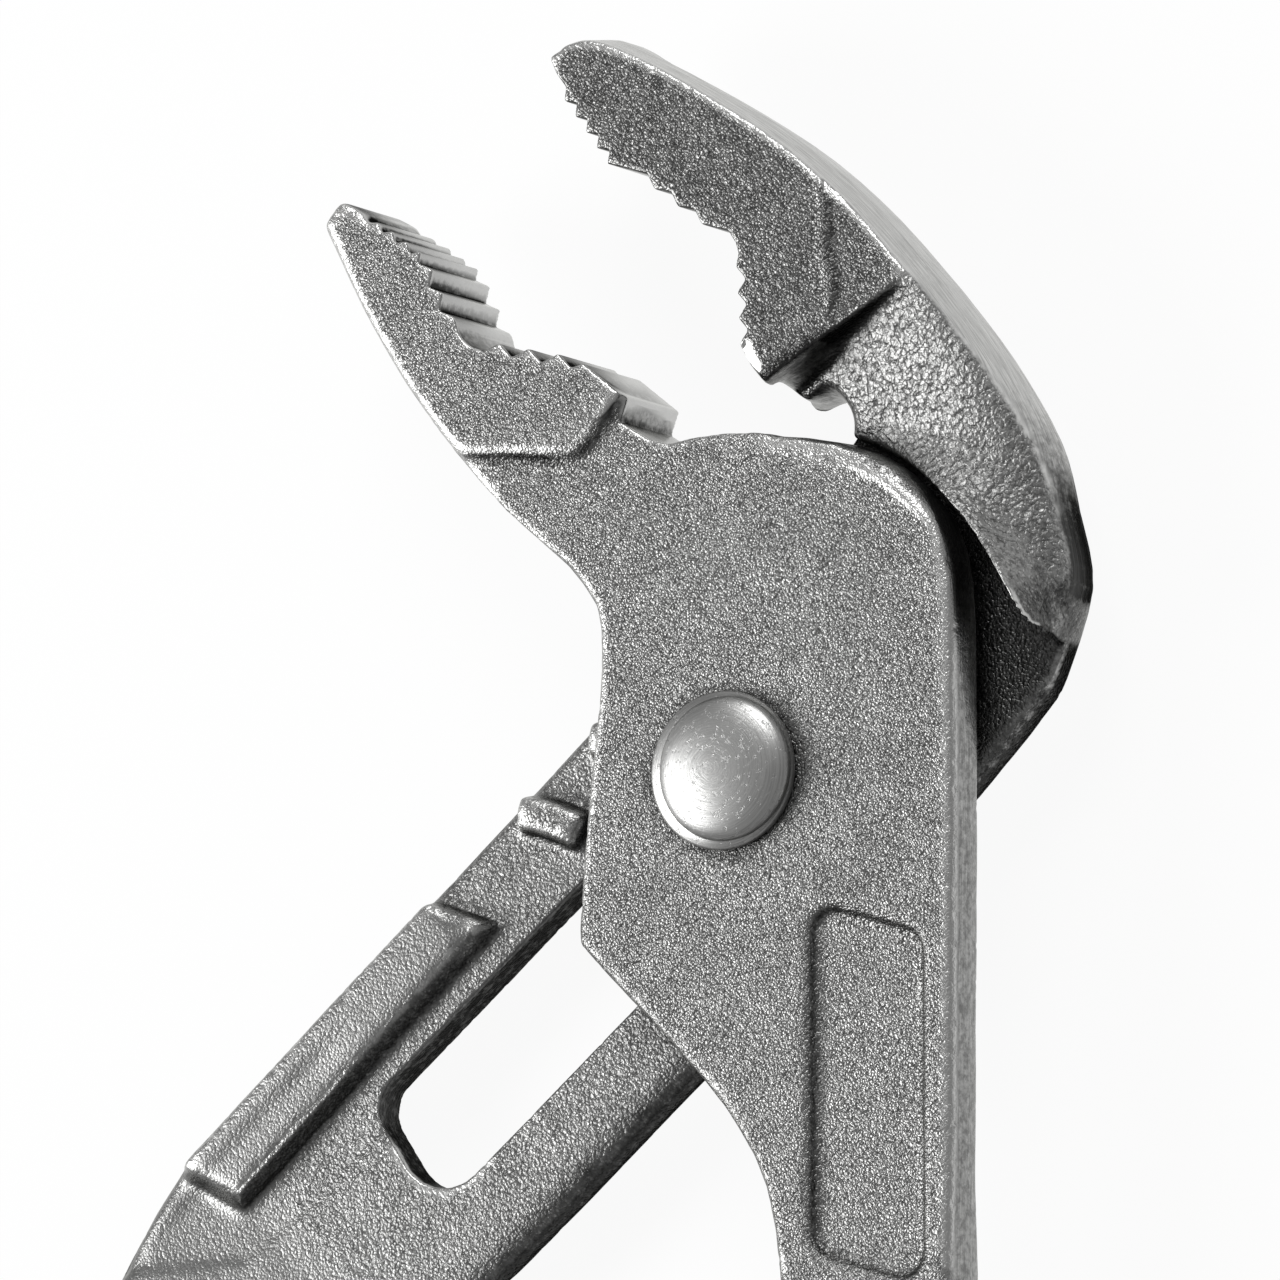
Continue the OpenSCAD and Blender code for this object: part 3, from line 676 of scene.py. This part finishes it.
def lathe(name, profile, turns):
    """Solid of revolution about the pivot through (radius, height) points in mm, from axis to axis."""
    turned = bmesh.new()
    rings = []
    for r, h in profile:
        spots = [2 * math.pi * k / turns for k in range(turns)] if r > 0 else [0]
        rings.append([turned.verts.new((r * MM * math.cos(q), r * MM * math.sin(q), h * MM)) for q in spots])
    for low, high in zip(rings, rings[1:]):
        for k in range(turns):
            lower = [low[k % len(low)], low[(k + 1) % len(low)]]
            upper = [high[(k + 1) % len(high)], high[k % len(high)]]
            turned.faces.new(list(dict.fromkeys(lower + upper)))
    mesh = bpy.data.meshes.new(name)
    turned.to_mesh(mesh)
    turned.free()
    mesh.polygons.foreach_set("use_smooth", [True] * len(mesh.polygons))
    mesh.set_sharp_from_angle(angle=math.radians(40))
    piece = bpy.data.objects.new(name, mesh)
    bpy.context.scene.collection.objects.link(piece)
    return piece


def quarter(r, h, radius, start):
    """A quarter round about (r, h), from that angle on, in degrees."""
    turns = [math.radians(start + 15 * k) for k in range(7)]
    return [(r + radius * math.cos(q), h + radius * math.sin(q)) for q in turns]


dome_rise = head_top - brim_top
dome = [
    (dome_foot_r * math.sin(q), brim_top + dome_rise * math.cos(q) ** 0.9)
    for q in (math.radians(88 - 88 * k / 30) for k in range(31))
]
bolt_profile = [
    (0, 0),
    (tail_r - tail_chamfer, 0),
    (tail_r, tail_chamfer),
    (tail_r, shoulder_foot),
    (shoulder_r, shoulder_foot),
    (shoulder_r, head_seat),
    *quarter(head_r - brim_edge, head_seat + brim_edge, brim_edge, -90),
    (head_r - 0.05, head_seat + 0.6),
    (head_r - 0.2, head_seat + 0.75),
    (dome_foot_r + 0.05, brim_top - 0.05),
    (dome_foot_r, brim_top),
    *dome,
]
bolt = lathe("pivot_bolt_turned", bolt_profile, 128)
off_from, off_to = head_seat + 0.7, brim_top
for point in bolt.data.vertices:
    risen = min(max((point.co.z / MM - off_from) / (off_to - off_from), 0), 1)
    point.co.x += risen * dome_off[0] * MM
    point.co.y += risen * dome_off[1] * MM


ring_depth = 0.012 * MM


def spun_steel(name, dark, light):
    """Bright turned steel: rings of fine lines round the pivot, small dents, a few scratches."""
    steel = bpy.data.materials.new(name)
    steel.use_nodes = True
    tree = steel.node_tree
    surface = tree.nodes["Principled BSDF"]
    surface.inputs["Metallic"].default_value = 1
    skin = shader(tree, "ShaderNodeGroup", node_tree=forged_skin)
    skin.inputs["Grain mm"].default_value = 0.5
    spot = spot_in_mm(tree)
    across = vector_node(tree, "MULTIPLY", {0: spot, 1: (1, 1, 0)})
    radius = shader(tree, "ShaderNodeVectorMath", {0: across}, operation="LENGTH").outputs["Value"]
    heading = vector_node(tree, "NORMALIZE", {0: across})
    heading = vector_node(tree, "SCALE", {0: heading, "Scale": 1.2})
    ring = shader(tree, "ShaderNodeCombineXYZ", {"Z": math_node(tree, "MULTIPLY", radius, 7)}).outputs[0]
    ring_spot = vector_node(tree, "ADD", {0: heading, 1: ring})
    rings = cloud(tree, ring_spot, 1, 4, 0.7)
    stretch = vector_node(tree, "MULTIPLY", {0: spot, 1: (0.35, 3, 1)})
    scratches = mask(tree, cloud(tree, stretch, 1.5, 3, 0.7), 0.6, 0.68)
    dents = mask(tree, cloud(tree, spot, 1.6, 4, 0.75), 0.56, 0.68)
    colour = blend_colour(tree, mask(tree, rings, 0.35, 0.65), grey(dark), grey(light))
    colour = cover(tree, colour, skin.outputs["Patch"], 0.3, dark)
    colour = cover(tree, colour, dents, 0.55, 0.6 * dark)
    colour = cover(tree, colour, scratches, 0.5, 1.15 * light)
    tree.links.new(colour, surface.inputs["Base Color"])
    tree.links.new(mask(tree, rings, 0.35, 0.65, 0.42, 0.31), surface.inputs["Roughness"])
    height = math_node(tree, "MULTIPLY_ADD", dents, -1.2, rings)
    bump = shader(tree, "ShaderNodeBump", {"Strength": 1, "Distance": ring_depth, "Height": height})
    tree.links.new(bump.outputs["Normal"], surface.inputs["Normal"])
    return steel


bolt.data.materials.append(spun_steel("bolt_steel", 0.34, 0.58))
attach(bolt, "pivot")
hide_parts("pivot_bolt")


# Pivot nut: a plain hexagon nut of the same steel behind the slotted bar, with its corners turned off.
# It is screwed up to the bolt's shoulder, so that the levers stay free.
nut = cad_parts["pivot_nut"]
nut.data.materials.clear()
nut.data.materials.append(spun_steel("nut_steel", 0.35, 0.52))


# Floor: a pale even sweep that the tool lies on, white to the eye and keeping the tool's soft shadow.
# It is no part of the tool.
floor_r = 5
floor_mesh = bpy.data.meshes.new("floor")
sweep = bmesh.new()
bmesh.ops.create_circle(sweep, cap_ends=True, segments=96, radius=floor_r)
sweep.to_mesh(floor_mesh)
sweep.free()
floor = bpy.data.objects.new("floor", floor_mesh)
bpy.context.scene.collection.objects.link(floor)
paper = bpy.data.materials.new("white_paper")
paper.use_nodes = True
tree = paper.node_tree
tree.nodes.remove(tree.nodes["Principled BSDF"])
matt = shader(tree, "ShaderNodeBsdfDiffuse", {"Color": (0.9, 0.9, 0.9, 1)})
glow = shader(tree, "ShaderNodeEmission", {"Color": (1, 1, 1, 1), "Strength": 1})
rays = shader(tree, "ShaderNodeLightPath")
seen = math_node(tree, "MAXIMUM", rays.outputs["Is Camera Ray"], rays.outputs["Is Glossy Ray"])
seen = math_node(tree, "MAXIMUM", seen, rays.outputs["Is Transmission Ray"])
share = math_node(tree, "MULTIPLY", seen, 0.93)
mixed = shader(tree, "ShaderNodeMixShader", {0: share, 1: matt.outputs[0], 2: glow.outputs[0]})
tree.links.new(mixed.outputs[0], tree.nodes["Material Output"].inputs["Surface"])
floor.data.materials.append(paper)


# Studio: two round soft boxes on stands, one from the left and one from above in the picture.
# An even sky, dimmer than they are, fills the shadows.
lamp_distance = 1.2


def soft_box(name, direction, size, power):
    lamp = bpy.data.lights.new(name, "AREA")
    lamp.shape = "DISK"
    lamp.size = size
    lamp.energy = power
    holder = bpy.data.objects.new(name, lamp)
    bpy.context.scene.collection.objects.link(holder)
    holder.location = Vector(direction).normalized() * lamp_distance
    holder.rotation_euler = Vector(direction).to_track_quat("Z", "Y").to_euler()


soft_box("soft_box_left", (-0.695, 0.436, 0.573), 0.7, 11)
soft_box("soft_box_top", (0.545, 0.514, 0.662), 0.55, 6)
world = bpy.data.worlds.new("studio")
world.use_nodes = True
sky = world.node_tree.nodes["Background"]
sky.inputs["Color"].default_value = (1, 1, 1, 1)
sky.inputs["Strength"].default_value = 0.3
bpy.context.scene.world = world
bpy.context.scene.view_settings.view_transform = "Standard"


# Camera: the photograph's view from above the handle side, with a long lens.
# Its three directions are those of the picture's sides and of the look into it.
camera = bpy.data.objects.new("camera", bpy.data.cameras.new("camera"))
bpy.context.scene.collection.objects.link(camera)
camera.data.lens = 337.5
camera.data.sensor_width = 36
right = Vector((0.66522, -0.57981, -0.47041))
up = Vector((0.69835, 0.70608, 0.11729))
forward = Vector((-0.26415, 0.40653, -0.87462))
turn = Matrix((right, up, -forward)).transposed().to_4x4()
camera.matrix_world = Matrix.Translation((0.2943, -0.4350, 0.9864)) @ turn
camera.data.clip_start = 0.01
camera.data.clip_end = 50
bpy.context.scene.camera = camera
